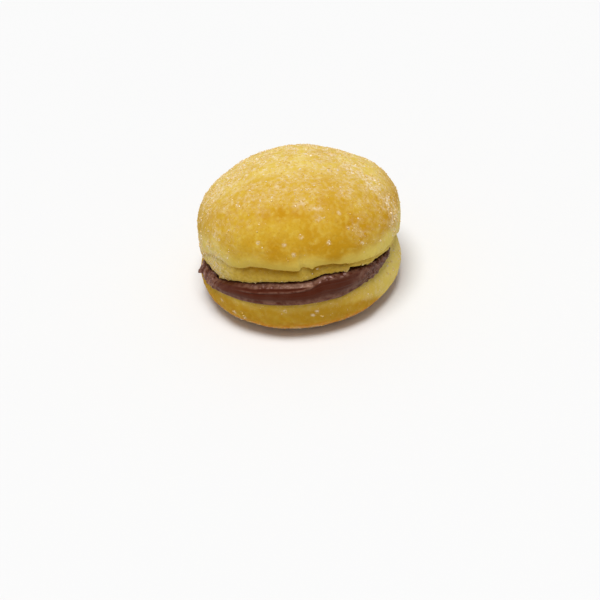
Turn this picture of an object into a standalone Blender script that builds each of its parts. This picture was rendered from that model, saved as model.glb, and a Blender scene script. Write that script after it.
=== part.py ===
"""Berliner doughnut, cut open from the side and filled with chocolate cream.

The doughnut rests on its flat sole and opens towards -Y. Its dough is one piece: the
cut runs in from the front and stops past the middle, where the two halves hang together.
The dome above the cut leans back on that hinge, and the filling lies in the gap.

Angles are in degrees round the upright axis, from the front, -Y, towards +X.
"""

import math

import bmesh
import bpy
from mathutils import Matrix, Vector, noise

MM = 0.001

# The lower half, in millimetres.
BASE_RADIUS = 41.7
BASE_SHIFT_X = -0.5
SOLE_RADIUS = 25.0
BELLY_HEIGHT = 9.5
BELLY_SHARE = 0.62
BELLY_ROUNDNESS = 0.95
LEFT_BULGE = 1.3
LEFT_BULGE_ANGLE = -72.0
LEFT_BULGE_WIDTH = 34.0
LIP_INSET_FRONT = 0.7
LIP_INSET_RIGHT = 3.2
LIP_INSET_RIGHT_ANGLE = 60.0

# The cut: its height over the sole, how far it sinks on the left, and how wide it gapes.
CUT_HEIGHT = 18.2
CUT_SINKS_LEFT = 3.0
CUT_FIRST_ANGLE = -102.0
CUT_LAST_ANGLE = 80.0
CUT_FADE = 9.0
CUT_HINGE_BEHIND_AXIS = 2.0
GAPE = 9.9
GAPE_WIDEST_ANGLE = 4.0
GAPE_LEFT_POWER = 1.0
GAPE_RIGHT_POWER = 0.9
GAPE_AT_HINGE = 1.5
LEAST_REACH = 0.5

# The upper lip's own course, as angle and millimetres of sag: it hangs low on the left and has a blob on the right.
LIP_SAG = (
    (-92.0, 0.0), (-80.0, 0.8), (-66.0, 0.9), (-57.0, 2.7), (-41.0, 2.2), (-31.0, 2.5), (-24.0, 1.0), (2.0, 1.0),
    (11.0, -1.0), (20.0, -0.4), (24.5, 0.8), (28.0, -1.1), (36.0, 0.3), (41.0, 0.4), (55.0, -1.7), (66.0, -2.7),
    (74.0, -1.2), (80.0, 0.0),
)

# The pale waist, where the dough isn't cut. The lower half is fuller at the back, under the leaning dome.
WAIST_HALF_HEIGHT = 1.8
WAIST_INSET = 2.2
WAIST_HOLLOW = 0.3
WAIST_TO_CREASE = 0.8
WAIST_SPREAD = 0.45
BACK_FIRST_ANGLE = 95.0
BACK_FULL_ANGLE = 150.0
BACK_BULGE = 1.0
LIP_INSET_BACK = 0.8

# The dome: it leans back about a line behind the axis. Its own heights start at the crease under its rim.
# Its shoulders droop, more on the right than on the left.
DOME_RADIUS = 42.1
DOME_SHIFT_X = 0.4
DOME_TURN = -8.0
DOME_LEAN = 13.0
DOME_HINGE_BEHIND_AXIS = 7.0
DOME_HEIGHT = 33.8
DOME_DROOP_LEFT = 0.8
DOME_DROOP_RIGHT = 2.4
RIM_HEIGHT = 6.0
CREASE_HEIGHT = 21.8
CREASE_LEVEL_FROM = -62.0
CREASE_LEVEL_TO = 48.0
LIP_INSET_DOME = 2.7
LIP_SWELL = 0.5

# The crease's own course, as angle and millimetres of rise, and how deep it lies under the rim. Where it is
# deep, the skin over it stands out as a rounded ledge.
CREASE_RISE = (
    (-62.0, 0.2), (-47.0, -0.6), (-38.0, -0.2), (-31.0, 1.5), (-25.0, 1.8), (-15.0, 1.2), (-4.0, 0.2), (0.0, 1.8),
    (4.0, 0.5), (9.0, 2.0), (15.0, 2.0), (21.0, 1.0), (27.0, 0.2), (40.0, 0.0),
)
CREASE_INSETS = (
    (-95.0, 1.2), (-72.0, 1.6), (-64.0, 2.8), (-51.0, 1.9), (-44.0, 3.2), (-34.0, 3.6), (4.0, 3.4), (18.0, 2.9),
    (30.0, 2.0), (40.0, 1.2), (52.0, 0.6), (70.0, 0.9),
)
LEDGE_ROUNDNESS = 0.45
LEDGE_FIRST_INSET = 1.4
LEDGE_FULL_INSET = 2.8

# The fold in the rim, where the skin on its left overlaps the skin on its right.
FOLD_ANGLE = -2.0
FOLD_WIDTH = 2.0
FOLD_HEIGHT = 0.6
FOLD_FADE_ANGLE = 14.0
FOLD_STARTS = 0.15
FOLD_FULL = 0.7
FOLD_END = 1.8
FOLD_FADE_UP = 4.0

# Soft lumps of the fried surface.
LUMP_SIZE = 19.0
LUMP_HEIGHT = 0.45

# The filling: its clearance to the dough, its bulge at the front and the tongue squeezed out on the left.
FILLING_CLEARANCE = 0.35
FILLING_DEPTH = 0.92
FILLING_FIRST_ANGLE = -84.0
FILLING_LAST_ANGLE = 68.0
FILLING_END_POWER = 12
FILLING_END_DEPTH = 0.5
FILLING_BULGE = 1.7
FILLING_BULGE_ROUNDNESS = 0.8
TONGUE_ANGLE = -80.0
TONGUE_WIDTH = 6.0
TONGUE_LENGTH = 1.6
TONGUE_DROOP = 0.8

# How many points go round the dough, how its rings share out from the sole up, and the same for the filling.
DOUGH_SEGMENTS = 112
DOUGH_ZONES = (("sole", 3), ("belly", 9), ("floor", 4), ("roof", 4), ("lip", 3), ("brow", 6), ("dome", 12))
FRONT_SHARE = 0.66
FRONT_HALF_ANGLE = 98.0
FILLING_STATIONS = 44
FILLING_ZONES = (("bottom", 7), ("bulge", 10), ("top", 7), ("back", 2))
NEARLY_ONE = 0.999

# Colour, roughness and metallic value.
DOUGH_LOOK = ((0.60, 0.33, 0.07, 1.0), 0.62, 0.0)
FILLING_LOOK = ((0.085, 0.025, 0.012, 1.0), 0.35, 0.0)


def smooth(start, end, value):
    """Rise from 0 at start to 1 at end without a corner."""
    t = min(max((value - start) / (end - start), 0.0), 1.0)
    return t * t * (3.0 - 2.0 * t)


def mix(first, second, share):
    return first * (1.0 - share) + second * share


def bump(angle, middle, width):
    """1 at the middle, fading within the width on both sides."""
    return math.exp(-((angle - middle) / width) ** 2)


def follow(course, angle):
    """Read a course of (angle, value) pairs, easing from each to the next."""
    value = course[0][1]
    for (start, first), (end, second) in zip(course, course[1:]):
        if angle > start:
            value = mix(first, second, smooth(start, end, angle))
    return value


def outward(angle):
    """Level direction away from the axis."""
    a = math.radians(angle)
    return Vector((math.sin(a), -math.cos(a), 0.0))


UP = Vector((0.0, 0.0, 1.0))
CUT_DIRECTION = outward((CUT_FIRST_ANGLE + CUT_LAST_ANGLE) / 2.0)
DOME_DIRECTION = outward(DOME_TURN)
DOME_HINGE = DOME_DIRECTION * -DOME_HINGE_BEHIND_AXIS
DOME_PLACE = Vector((DOME_SHIFT_X, 0.0, CREASE_HEIGHT))
DOME_TILT = Matrix.Rotation(math.radians(-DOME_LEAN), 3, UP.cross(DOME_DIRECTION))


def cut_height(x):
    """Height of the lower cut face: level on the right, sinking to the left."""
    return CUT_HEIGHT - CUT_SINKS_LEFT * (max(-x, 0.0) / BASE_RADIUS) ** 2


def cut_share(angle):
    """1 where the dough is cut, 0 where it isn't."""
    left = smooth(CUT_FIRST_ANGLE, CUT_FIRST_ANGLE + CUT_FADE, angle)
    right = smooth(CUT_LAST_ANGLE, CUT_LAST_ANGLE - CUT_FADE, angle)
    return left * right


def gape(angle):
    """Height of the gap between the two lips."""
    reach, power = CUT_LAST_ANGLE - GAPE_WIDEST_ANGLE, GAPE_RIGHT_POWER
    if angle < GAPE_WIDEST_ANGLE:
        reach, power = GAPE_WIDEST_ANGLE - CUT_FIRST_ANGLE, GAPE_LEFT_POWER
    part = min(abs(angle - GAPE_WIDEST_ANGLE) / reach, 1.0)
    return GAPE * max(math.cos(part * math.pi / 2.0), 0.0) ** power - follow(LIP_SAG, angle)


def at_back(angle):
    return smooth(BACK_FIRST_ANGLE, BACK_FULL_ANGLE, abs(angle))


def base_radius(angle):
    left = LEFT_BULGE * bump(angle, LEFT_BULGE_ANGLE, LEFT_BULGE_WIDTH)
    return BASE_RADIUS + left + BACK_BULGE * at_back(angle)


def low_lip(angle):
    """The lower edge of the cut, or of the pale waist where there is no cut."""
    inset = mix(LIP_INSET_FRONT, LIP_INSET_RIGHT, smooth(0.0, LIP_INSET_RIGHT_ANGLE, angle))
    inset = mix(inset, LIP_INSET_BACK, at_back(angle))
    point = outward(angle) * (base_radius(angle) - inset)
    point.x += BASE_SHIFT_X
    point.z = cut_height(point.x) - WAIST_HALF_HEIGHT * (1.0 - cut_share(angle))
    return point


def lean(point, height):
    """Move a point of the upright dome, height over its crease, to where the dome leans."""
    upright = Vector((point.x, point.y, height))
    return DOME_TILT @ (upright - DOME_HINGE) + DOME_HINGE + DOME_PLACE


def crease_level(angle):
    """Height of the crease in the dome's own frame, without its rise: 0 along the cut, then off to the waist."""
    left = smooth(CUT_FIRST_ANGLE, CREASE_LEVEL_FROM, angle)
    right = smooth(CUT_LAST_ANGLE + CUT_FADE, CREASE_LEVEL_TO, angle)
    on_hinge_side = outward(angle).dot(DOME_DIRECTION) * DOME_RADIUS + DOME_HINGE_BEHIND_AXIS
    level = CREASE_HEIGHT + on_hinge_side * math.sin(math.radians(DOME_LEAN))
    waist = cut_height(outward(angle).x * DOME_RADIUS) + WAIST_HALF_HEIGHT + WAIST_TO_CREASE
    return (waist - level) / math.cos(math.radians(DOME_LEAN)) * (1.0 - left * right)


def crease_height(angle):
    return crease_level(angle) + follow(CREASE_RISE, angle)


def crease_inset(angle):
    """How far the crease lies inside the dome's widest ring."""
    return mix(WAIST_INSET, follow(CREASE_INSETS, angle), cut_share(angle))


def crease(angle):
    return lean(outward(angle) * (DOME_RADIUS - crease_inset(angle)), crease_height(angle))


def high_lip(angle):
    """The upper edge of the cut, or of the pale waist where there is no cut."""
    share = cut_share(angle)
    radius = DOME_RADIUS - mix(WAIST_INSET, LIP_INSET_DOME, share)
    point = lean(outward(angle) * radius, crease_level(angle))
    point.z = cut_height(point.x) + mix(WAIST_HALF_HEIGHT, gape(angle), share)
    return point


def cut_face(angle, depth, roof):
    """A point of the cut's floor or roof: depth 0 at the lip, 1 at the hinge."""
    edge = high_lip(angle) if roof else low_lip(angle)
    reach = max(edge.dot(CUT_DIRECTION) + CUT_HINGE_BEHIND_AXIS, LEAST_REACH)
    point = edge - CUT_DIRECTION * reach * depth
    point.z = cut_height(point.x)
    if roof:
        point.z += mix(gape(angle), GAPE_AT_HINGE, depth)
    return point


def waist(angle, up):
    """A point of the outside between the two lips, hollowed a little."""
    point = low_lip(angle).lerp(high_lip(angle), up)
    return point - outward(angle) * WAIST_HOLLOW * math.sin(math.pi * up)


def floor(angle, depth):
    return waist(angle, WAIST_SPREAD * depth).lerp(cut_face(angle, depth, False), cut_share(angle))


def roof(angle, depth):
    return waist(angle, 1.0 - WAIST_SPREAD * depth).lerp(cut_face(angle, depth, True), cut_share(angle))


def lumps(point, direction):
    return direction * LUMP_HEIGHT * noise.noise(point / LUMP_SIZE)


def sole(angle, k):
    """The flat underside, from its middle out."""
    return (outward(angle) * SOLE_RADIUS + Vector((BASE_SHIFT_X, 0.0, 0.0))) * k


def belly(angle, k):
    """From the edge of the sole out and up to the lower lip."""
    edge = low_lip(angle)
    radius = base_radius(angle)
    if k < BELLY_SHARE:
        a = k / BELLY_SHARE * math.pi / 2.0
        out = mix(SOLE_RADIUS, radius, math.sin(a) ** BELLY_ROUNDNESS)
        height = BELLY_HEIGHT * (1.0 - math.cos(a))
    else:
        b = (k - BELLY_SHARE) / (1.0 - BELLY_SHARE)
        edge_radius = Vector((edge.x - BASE_SHIFT_X, edge.y)).length
        out = mix(radius, edge_radius, b ** 2)
        height = mix(BELLY_HEIGHT, edge.z, b)
    point = outward(angle) * out + Vector((BASE_SHIFT_X, 0.0, height))
    return point + lumps(point, outward(angle)) * smooth(0.0, BELLY_SHARE, k)


def lip(angle, k):
    """The pale band between the upper lip and the crease under the dome's rim."""
    swell = LIP_SWELL * math.sin(math.pi * k) * cut_share(angle)
    return high_lip(angle).lerp(crease(angle), k) + outward(angle) * swell


def rim_height(angle):
    """Where the dome is widest, in its own frame."""
    return RIM_HEIGHT + max(crease_level(angle), 0.0)


def fold(angle, up):
    """How far the skin left of the fold stands out over the skin on its right. Up is 1 at the widest ring."""
    beside = smooth(FOLD_ANGLE + FOLD_WIDTH, FOLD_ANGLE - FOLD_WIDTH, angle)
    fade = smooth(FOLD_ANGLE - FOLD_FADE_ANGLE, FOLD_ANGLE - FOLD_WIDTH, angle)
    return FOLD_HEIGHT * beside * fade * smooth(0.0, FOLD_STARTS, up) * smooth(FOLD_END, FOLD_FULL, up)


def brow(angle, k):
    """From the crease out and up to the dome's widest ring. Over a deep crease it starts as a rounded ledge."""
    a = k * math.pi / 2.0
    inset = crease_inset(angle)
    deep = smooth(LEDGE_FIRST_INSET, LEDGE_FULL_INSET, inset) * cut_share(angle)
    out = DOME_RADIUS - inset * (1.0 - math.sin(a) ** mix(1.0, LEDGE_ROUNDNESS, deep)) + fold(angle, k)
    point = lean(outward(angle) * out, mix(rim_height(angle), crease_height(angle), math.cos(a)))
    return point + lumps(point, outward(angle)) * k


def dome(angle, k):
    """From the widest ring up to the top."""
    a = k * math.pi / 2.0
    upright = outward(angle) * (DOME_RADIUS * math.cos(a) + fold(angle, 1.0 + FOLD_FADE_UP * k))
    droop = DOME_DROOP_LEFT if upright.x < 0.0 else DOME_DROOP_RIGHT
    droop *= (upright.x / DOME_RADIUS) ** 2
    point = lean(upright, mix(rim_height(angle), DOME_HEIGHT - droop, math.sin(a)))
    return point + lumps(point, outward(angle) * math.cos(a) + UP * math.sin(a))


SURFACES = {
    "sole": sole,
    "belly": belly,
    "floor": floor,
    "roof": lambda angle, k: roof(angle, 1.0 - k),
    "lip": lip,
    "brow": brow,
    "dome": dome,
}


def place_in_zones(ring, zones):
    """The zone of a ring and how far along it the ring lies. The roof starts a step above the floor's end."""
    first = 0
    for name, count in zones:
        if ring <= first + count:
            step = ring - first
            return (name, (step - 1) / (count - 1)) if name == "roof" else (name, step / count)
        first += count


def crowded_angle(turn):
    """Turn a position of -1 to 1 round the axis into an angle, with most points along the cut."""
    t = abs(turn)
    if t < FRONT_SHARE:
        angle = t / FRONT_SHARE * FRONT_HALF_ANGLE
    else:
        angle = mix(FRONT_HALF_ANGLE, 180.0, (t - FRONT_SHARE) / (1.0 - FRONT_SHARE))
    from_front = math.copysign(angle, turn) + (CUT_FIRST_ANGLE + CUT_LAST_ANGLE) / 2.0
    return (from_front + 180.0) % 360.0 - 180.0


def make_dough():
    """A sphere of rings, each ring moved to its place on the doughnut."""
    rings = sum(count for _, count in DOUGH_ZONES)
    mesh = bmesh.new()
    bmesh.ops.create_uvsphere(mesh, u_segments=DOUGH_SEGMENTS, v_segments=rings, radius=1.0)
    for vertex in mesh.verts:
        x, y, z = vertex.co
        ring = round(math.acos(min(max(-z, -1.0), 1.0)) / math.pi * rings)
        at_pole = ring in (0, rings)
        turn = 0.0 if at_pole else math.atan2(x, -y) / math.pi
        zone, k = place_in_zones(ring, DOUGH_ZONES)
        vertex.co = SURFACES[zone](crowded_angle(turn), k) * MM
    return finished("dough", mesh)


def filling_point(station, zone, k):
    """Station runs from -1 on the left to 1 on the right, k along a part of the section's outline."""
    angle = mix(FILLING_FIRST_ANGLE, FILLING_LAST_ANGLE, (station + 1.0) / 2.0)
    swell = math.sin(math.pi * k)
    closing = 1.0 - abs(station) ** FILLING_END_POWER
    deepest = FILLING_DEPTH * mix(FILLING_END_DEPTH, 1.0, closing)
    depth = {"bottom": 1.0 - k, "bulge": 0.0, "top": k, "back": 1.0}[zone] * deepest
    height = {"bottom": 0.0, "bulge": (1.0 - math.cos(math.pi * k)) / 2.0, "top": 1.0, "back": 1.0 - k}[zone]
    bottom = cut_face(angle, depth, False) + UP * FILLING_CLEARANCE
    top = cut_face(angle, depth, True) - UP * FILLING_CLEARANCE
    point = bottom.lerp(top, mix(0.5, height, closing))
    if zone == "bulge":
        tongue = TONGUE_LENGTH * bump(angle, TONGUE_ANGLE, TONGUE_WIDTH) * swell
        point += outward(angle) * (FILLING_BULGE * closing * swell ** FILLING_BULGE_ROUNDNESS + tongue)
        point -= UP * TONGUE_DROOP * tongue
    return point


def make_filling():
    """A sphere with its poles at the two ends of the cut, each station moved to its section."""
    outline = sum(count for _, count in FILLING_ZONES)
    mesh = bmesh.new()
    bmesh.ops.create_uvsphere(mesh, u_segments=outline, v_segments=FILLING_STATIONS, radius=1.0)
    for vertex in mesh.verts:
        x, y, z = vertex.co
        station = 2.0 * math.acos(min(max(z, -1.0), 1.0)) / math.pi - 1.0
        step = round(math.atan2(y, x) / (2.0 * math.pi) * outline) % outline
        at_pole = abs(station) > NEARLY_ONE
        zone, k = ("bottom", 0.5) if at_pole else place_in_zones(step, FILLING_ZONES)
        vertex.co = filling_point(station, zone, k) * MM
    return finished("chocolate_filling", mesh)


def finished(name, mesh):
    """A smooth-shaded object from a mesh."""
    data = bpy.data.meshes.new(name)
    mesh.to_mesh(data)
    mesh.free()
    data.shade_smooth()
    return bpy.data.objects.new(name, data)


def material(name, look):
    colour, roughness, metallic = look
    made = bpy.data.materials.new(name)
    made.use_nodes = True
    shader = made.node_tree.nodes["Principled BSDF"]
    shader.inputs["Base Color"].default_value = colour
    shader.inputs["Roughness"].default_value = roughness
    shader.inputs["Metallic"].default_value = metallic
    made.diffuse_color = colour
    return made


def main():
    for item in list(bpy.data.objects):
        bpy.data.objects.remove(item, do_unlink=True)
    doughnut = bpy.data.collections.new("berliner_doughnut")
    bpy.context.scene.collection.children.link(doughnut)
    dough = make_dough()
    dough.data.materials.append(material("fried_dough", DOUGH_LOOK))
    doughnut.objects.link(dough)
    filling = make_filling()
    filling.data.materials.append(material("chocolate_cream", FILLING_LOOK))
    doughnut.objects.link(filling)


main()
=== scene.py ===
"""Berliner doughnut, cut open at the side and filled with chocolate cream: its crust, cream, sugar and stage.

Shapes are worked out in millimetres and put in the scene in metres. Angles are in degrees round the upright
axis, from the front, -Y, towards +X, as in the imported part.
"""

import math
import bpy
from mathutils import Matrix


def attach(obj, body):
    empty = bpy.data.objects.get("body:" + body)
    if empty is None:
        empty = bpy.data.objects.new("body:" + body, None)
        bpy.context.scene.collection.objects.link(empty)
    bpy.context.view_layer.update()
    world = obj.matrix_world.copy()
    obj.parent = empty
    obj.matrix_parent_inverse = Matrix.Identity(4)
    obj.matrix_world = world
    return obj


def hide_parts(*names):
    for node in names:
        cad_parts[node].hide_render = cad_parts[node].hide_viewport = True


bl_info = {
    "name": "Berliner Doughnut",
    "version": (1, 0, 0),
    "blender": (4, 5, 0),
    "location": "View3D > Sidebar > Berliner",
    "description": "Dresses a cut and filled berliner doughnut with its crust, cream, sugar and a stage",
    "category": "Object",
}

import bmesh
import bpy
import numpy as np
from mathutils import Matrix, Vector, noise

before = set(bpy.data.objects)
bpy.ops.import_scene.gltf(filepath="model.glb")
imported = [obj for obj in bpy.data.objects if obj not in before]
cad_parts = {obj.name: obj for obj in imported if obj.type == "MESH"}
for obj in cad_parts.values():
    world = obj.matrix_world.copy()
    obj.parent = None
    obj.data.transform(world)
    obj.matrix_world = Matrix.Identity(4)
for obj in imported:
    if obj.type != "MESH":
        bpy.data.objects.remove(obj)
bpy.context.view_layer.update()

MM = 0.001
UP = Vector((0.0, 0.0, 1.0))

# The steps of the making: each has a group of settings and an operator.
STEPS = (("stage", "stage"), ("crust", "dough"), ("cream", "cream"), ("sugar", "sugar"))

# The photograph's frame and the lens in pixels, the point that the camera aims at, and where that lands.
PHOTO_SIZE = 600.0
PHOTO_FOCAL = 1820.0
AIM = Vector((0.0, 0.0, 27.0)) * MM
AIM_PIXEL = (298.5, 226.0)

# The floor's half width in metres.
FLOOR_REACH = 12.0

# The sockets of a colour Mix node, by number, because its sockets of other kinds have the same names.
MIX_SHARE = 0
MIX_FIRST = 6
MIX_SECOND = 7
MIX_RESULT = 2

# The lower half, in millimetres.
BASE_RADIUS = 41.7
BASE_SHIFT_X = -0.5
SOLE_RADIUS = 25.0
BELLY_HEIGHT = 9.5
BELLY_SHARE = 0.62
BELLY_ROUNDNESS = 0.95
LEFT_BULGE = 0.2
LEFT_BULGE_ANGLE = -72.0
LEFT_BULGE_WIDTH = 34.0
LIP_INSET_FRONT = 0.7
LIP_INSET_RIGHT = 3.2
LIP_INSET_RIGHT_ANGLE = 60.0
LIP_INSET_LEFT = 2.0
LIP_INSET_LEFT_ANGLES = (-50.0, -85.0)

# The cut: its height over the sole, how far it sinks on the left and rises at its right end, and how wide it
# gapes.
CUT_HEIGHT = 18.2
CUT_SINKS_LEFT = 3.0
CUT_RISES_RIGHT = 3.5
CUT_RISES_BETWEEN = (33.0, 38.5)
CUT_FIRST_ANGLE = -102.0
CUT_LAST_ANGLE = 80.0
CUT_FADE = 9.0
CUT_HINGE_BEHIND_AXIS = 2.0
GAPE = 9.9
GAPE_WIDEST_ANGLE = 4.0
GAPE_LEFT_POWER = 1.0
GAPE_RIGHT_POWER = 0.9
GAPE_AT_HINGE = 1.5
LEAST_REACH = 0.5

# The pale waist, where the dough isn't cut.
WAIST_HALF_HEIGHT = 1.8
WAIST_INSET = 2.2
WAIST_HOLLOW = 0.3
WAIST_TO_CREASE = 0.8
WAIST_SPREAD = 0.45
BACK_FIRST_ANGLE = 95.0
BACK_FULL_ANGLE = 150.0
BACK_BULGE = 1.0
LIP_INSET_BACK = 0.8

# The dome: it leans back about a line behind the axis. Its own heights start at the crease under its rim.
# Its shoulders droop, more on the right than on the left.
DOME_RADIUS = 42.1
DOME_SHIFT_X = 0.4
DOME_TURN = -8.0
DOME_LEAN = 13.0
DOME_HINGE_BEHIND_AXIS = 7.0
DOME_HEIGHT = 33.8
DOME_DROOP_LEFT = 0.8
DOME_DROOP_RIGHT = 2.4
RIM_HEIGHT = 6.0
CREASE_HEIGHT = 21.8
CREASE_LEVEL_FROM = -62.0
CREASE_LEVEL_TO = 48.0
LEDGE_ROUNDNESS = 0.45
LEDGE_FIRST_INSET = 1.4
LEDGE_FULL_INSET = 2.8
LIP_INSET_DOME = 2.7
LIP_SWELL = 0.5
LIP_ROUNDING = 0.7
LIP_ROUNDED_SHARE = 0.2
CRACK_WIDTH = 1.7
LUMP_SIZE = 19.0
LUMP_HEIGHT = 0.45

# Courses along the cut, as angle and millimetres: how far the upper lip sags, how far the crease rises, how
# far in it lies, and how deep the crack under it goes.
LIP_SAG = (
    (-92, 0.2), (-80, 1.4), (-75, 1.4), (-68, 2.1), (-63, 3.1), (-60, 4.3), (-57, 4.2), (-53, 3.6),
    (-47, 2.8), (-41, 2.2), (-35, 2.4), (-30, 2.1), (-25, 1.5), (-10, 1.3), (2, 1.5), (6, 0.7), (11, -0.6),
    (17, 0.0), (22.6, 0.6), (24.6, 1.4), (25.4, 1.0), (26.4, -1.0), (28, -1.0), (31, -0.5), (34, -0.4),
    (36, 0.1), (41, 0.4), (46, -0.6), (55, -1.2), (60, -1.2), (66, 0.1), (72, -0.2), (80, 0.0),
)
CREASE_RISE = (
    (-95, 0.0), (-68, 0.6), (-61, 1.6), (-57, 0.9), (-53, 0.9), (-50, 0.3), (-46, -0.6), (-38, -0.4),
    (-31, 1.1), (-25, 1.2), (-15, 0.6), (-5, 0.3), (-3.6, 0.4), (-0.8, 1.7), (2, 1.2), (4.2, 0.2), (6, 1.4),
    (9, 1.7), (15, 1.6), (21, 0.7), (27, 0.0), (50, 0.0), (58, 1.4), (66, 2.8), (70, 2.5), (78, 0.0),
)
CREASE_INSETS = (
    (-95, 1.2), (-54, 1.2), (-46, 1.5), (-41, 2.5), (-37, 3.4), (-5, 3.2), (-2.2, 2.5), (1, 3.2), (4, 3.4),
    (18, 2.9), (25, 2.2), (31, 1.0), (45, 0.6), (60, 0.8), (70, 1.2),
)
CRACK_DEPTHS = (
    (-72, 0.1), (-66, 0.5), (-63.5, 0.2), (-60.5, 0.9), (-58.8, 0.3), (-57, 1.0), (-55.5, 0.3), (-53, 0.8),
    (-51, 0.2), (-47, 0.1), (-41, 0.9), (-5, 0.9), (-3.2, 0.3), (-1.6, 0.2), (0, 0.9), (22, 0.9), (30, 0.2),
    (44, 0.1), (60, 0.3), (70, 0.8), (92, 0.6), (130, 0.1),
)

# The top of the cream follows the upper lip without its blob and its notch.
CREAM_SAG = (
    (-92, 0.2), (-80, 1.3), (-68, 1.9), (-60, 3.7), (-53, 3.5), (-41, 2.3), (-31, 2.3), (-20, 1.5), (2, 1.6),
    (11, -0.3), (24, 0.2), (36, 0.2), (46, -0.4), (55, -1.0), (60, -1.0), (66, 0.0), (80, 0.0),
)

# Rags of the upper lip: how many in a degree, how high, and where their pattern starts.
LIP_RAGS = ((0.11, 0.35, 0.5), (0.31, 0.26, 0.0), (0.83, 0.14, 0.0))

# The fold in the dome's rim where two skins overlap. Its heights are 0 at the crease and 1 at the rim.
FOLD_ANGLE = -2.6
FOLD_WIDTH = 0.9
FOLD_HEIGHT = 0.5
FOLD_GROOVE = 0.55
FOLD_FADE_ANGLE = 12.0
FOLD_START = 0.15
FOLD_FULL = 0.7
FOLD_END = 1.8

# What the dough's mesh says of its crust at each point, from 0 to 1.
CRUST_FACTS = ("pale", "brown", "shade", "torn", "sugar", "toasted")

# The first four facts of the uncut waist and of the inside of the cut.
WAIST_FACTS = (1.0, 0.0, 0.1, 0.35)
CUT_FACTS = (0.6, 0.0, 0.4, 1.0)

# Courses of the crust's colour, as angle and share: where the dough stayed pale at the ends of the cut, how
# far the pale rim reaches up the skin, and how deeply shaded the upper lip and the lower half are.
PALE_ENDS = (
    (-58, 1.0), (-46, 0.5), (-32, 0.0), (-5, 0.0), (-2, 0.55), (1, 0.5), (6, 0.2), (24, 0.45), (42, 1.0),
)
PALE_RIM = (
    (-150, 1.0), (-95, 0.9), (-60, 1.1), (-44, 0.85), (22, 0.7), (42, 1.05), (56, 1.1), (68, 1.5), (95, 1.4),
    (150, 1.0),
)
LIP_SHADE = (
    (-60, 0.0), (-42, 0.0), (-30, 0.25), (-18, 0.6), (-6, 0.6), (-3, 0.3), (1, 0.3), (6, 0.6), (30, 0.65),
    (60, 0.3),
)
BELLY_SHADE = (
    (-100, 0.15), (-75, 0.15), (-40, 0.3), (-15, 0.6), (15, 0.6), (38, 0.25), (65, 0.0), (120, 0.15),
)

# The upper lip, from 0 at its edge to 1 at the crease: it is pale along its edge and low down, where it juts
# into the light, partly pale dough and partly painted light. Higher up it is painted brown and shaded, as
# painted shade under the rim.
LIP_PALE_EDGE = (0.17, 0.05)
LIP_LOW = (0.7, 0.3)
LIP_LOW_PALE = 0.4
LIP_HIGH = (0.5, 0.85)
LIP_UNDER_RIM_SHADE_BROWN = 0.7
LIP_SHADED = (0.35, 0.65)
LIP_LEAST_SHADE = 0.6

# The skin: how its pale rim ends and wavers, where it is paler on top and shaded over the crease, and how far
# up it is torn in front and at the ends of the cut.
RIM_FADE = (0.4, -0.45)
RIM_WAVER = 0.4
RIM_PALE_IN_FRONT = 0.75
CROWN_ABOVE = (1.5, 3.0)
CROWN_PALE = 0.5
CROWN_BLOTCHES = 0.6
SKIN_SHADED = (1.0, 0.4)
SKIN_SHADE = 0.3
SKIN_BROWN = 0.6
SKIN_BLOTCHES = 0.35
FRONT_TORN_BELOW = (0.35, 0.0)
FRONT_TORN = 0.3
ENDS_TORN_BELOW = (0.9, 0.1)
ENDS_TORN = 0.6

# In millimetres: below which heights and right of which places the skin browns, and how far behind the axis
# it is paler on top.
BROWN_BELOW = (51.0, 40.0)
BROWN_RIGHT_OF = (-28.0, -6.0)
CROWN_BEHIND = (-18.0, 4.0)

# The lower half: at which angles it is pale on the right, from which height it is pale in front and there,
# and below which heights it is browner, toasted and less shaded.
BELLY_RIGHT_FROM = (16.0, 56.0)
BELLY_RIGHT_TO = (125.0, 95.0)
BELLY_PALE_FROM = (12.5, 4.0)
BELLY_PALE_WAVER = 2.5
BELLY_PALE_FADE = 3.5
BELLY_PALE_IN_FRONT = 0.35
BELLY_BROWN = 0.6
BELLY_BLOTCHES = 0.4
BELLY_MOTTLE = 0.6
BELLY_BROWN_BELOW = (10.0, 4.0)
BELLY_LOW_BROWN = 0.5
BELLY_TOASTED_BELOW = (11.0, 4.0)
BELLY_WAVER = 3.0
BELLY_SHADED_ABOVE = (4.0, 11.0)

# Sugar all over: how much lies on the lip and its edge, on the dome by the distance behind the axis and less
# on its sides, at the left end of the cut by angle, and on the lower half. None lies under the sole.
LIP_SUGAR = 0.04
LIP_EDGE_SUGAR = 0.15
DOME_HAZE = ((-33, 0.0), (-24, 0.14), (-14, 0.28), (0, 0.34), (10, 0.5))
DOME_SIDES = (40.0, 28.0)
DOME_SIDE_HAZE = 0.4
DRIFT_HAZE = 0.08
END_HAZE = ((-105, 0.1), (-85, 0.5), (-62, 0.5), (-42, 0.0))
END_HAZE_BELOW = (1.3, 0.6)
BELLY_SUGAR = 0.02
BELLY_PALE_SUGAR = 0.15
BELLY_LOW_SUGAR = 0.5
BELLY_LOW = (7.0, 3.0)
SUGAR_LEAST_HEIGHT = (0.3, 1.5)
SPECKLE_MIDDLE = 0.55
SPECKLE_SPAN = 0.8
SPECKLE_MOST = 1.2

# Sizes in millimetres of the noise that parts the crust's colours and its sugar.
BLOTCH_SIZE = 7.0
MOTTLE_SIZE = 2.4
DRIFT_SIZE = 16.0
SPECKLE_SIZE = 3.2

# Relief of the crust: soft dents, puckers of the fried skin, and the torn crumb at the cut. It starts over
# the sole, which stays flat.
DENT_SIZE = 8.0
PUCKER_SIZE = 2.6
TEAR_SIZE = 1.7
TEAR_STRETCH = 2.2
RELIEF_STARTS = 0.6

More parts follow.
